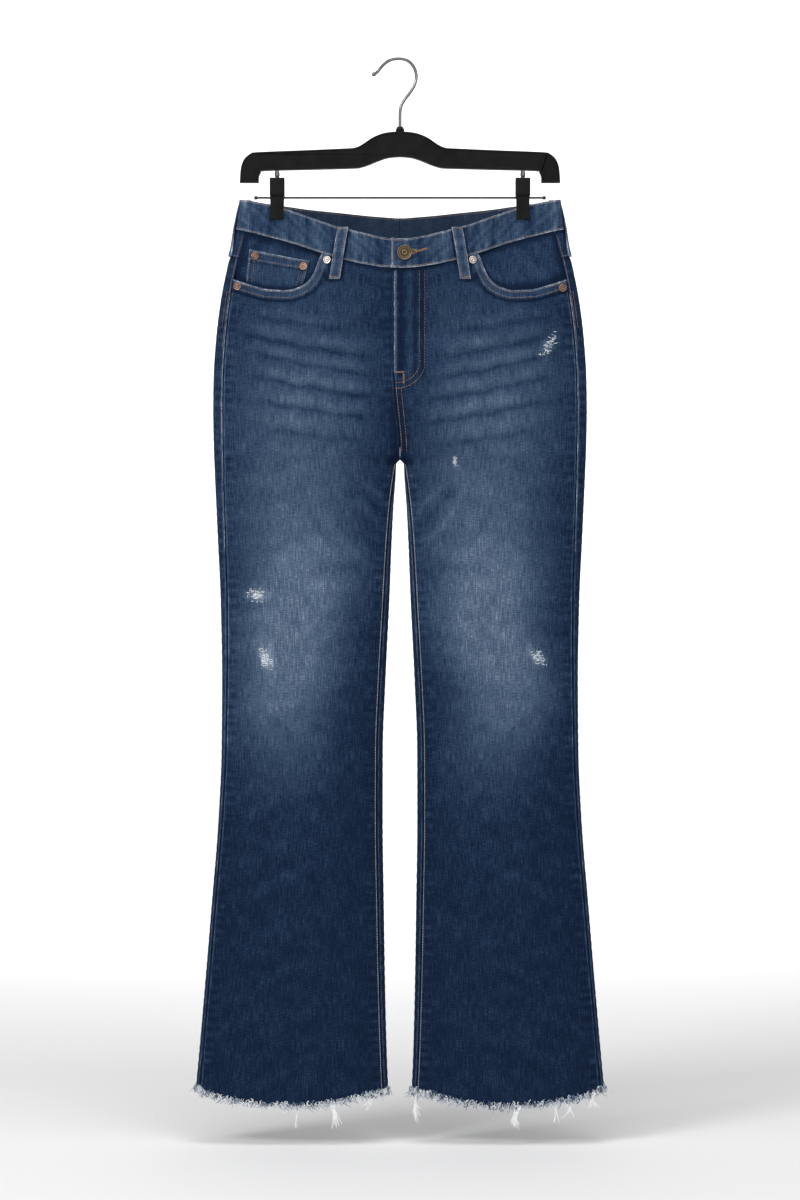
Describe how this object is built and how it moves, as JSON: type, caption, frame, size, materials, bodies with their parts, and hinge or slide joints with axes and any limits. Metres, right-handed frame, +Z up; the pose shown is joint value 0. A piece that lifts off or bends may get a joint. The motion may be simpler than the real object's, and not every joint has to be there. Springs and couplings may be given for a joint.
{
  "type": "flared jeans on a clip hanger",
  "caption": "High-rise flared blue jeans with raw frayed hems, clipped by the waistband under a black hanger with a chrome hook.",
  "frame": {"origin": "inner top of the hanger's hook, where it sits on a rail", "axes": "+Z up, +X towards the wearer's left, -Y out of the garment's front"},
  "size_m": [0.5156, 0.0726, 1.3514],
  "materials": {
    "denim": "matte washed twill",
    "frayed_threads": "matte loose cotton threads",
    "antique_brass": "antiqued, satin",
    "copper": "brushed",
    "silver_metal": "brushed",
    "chrome_wire": "polished",
    "black_plastic": "satin"
  },
  "bodies": {
    "root": {"back_left": "denim", "back_pocket_left": "denim", "back_pocket_right": "denim", "back_right": "denim", "belt_loop_back": "denim", "belt_loop_front_left": "denim", "belt_loop_front_right": "denim", "belt_loop_side_left": "denim", "belt_loop_side_right": "denim", "button": "antique_brass", "clip_back_left": "black_plastic", "clip_back_right": "black_plastic", "clip_front_left": "black_plastic", "clip_front_right": "black_plastic", "clip_pin_left": "chrome_wire", "clip_pin_right": "chrome_wire", "coin_pocket": "denim", "fly_shield": "denim", "fray_left": "frayed_threads", "fray_right": "frayed_threads", "front_left": "denim", "front_right": "denim", "hanger_body": "black_plastic", "hanger_collar": "black_plastic", "hanger_hook": "chrome_wire", "hanger_rod": "chrome_wire", "pocket_facing_left": "denim", "pocket_facing_right": "denim", "rivet_coin_inner": "copper", "rivet_coin_outer": "copper", "rivet_inner_left": "silver_metal", "rivet_inner_right": "silver_metal", "rivet_outer_left": "copper", "rivet_outer_right": "copper", "waistband_left": "denim", "waistband_right": "denim", "yoke_left": "denim", "yoke_right": "denim", "zip_slider": "antique_brass", "zip_tape": "antique_brass"}
  },
  "joints": []
}
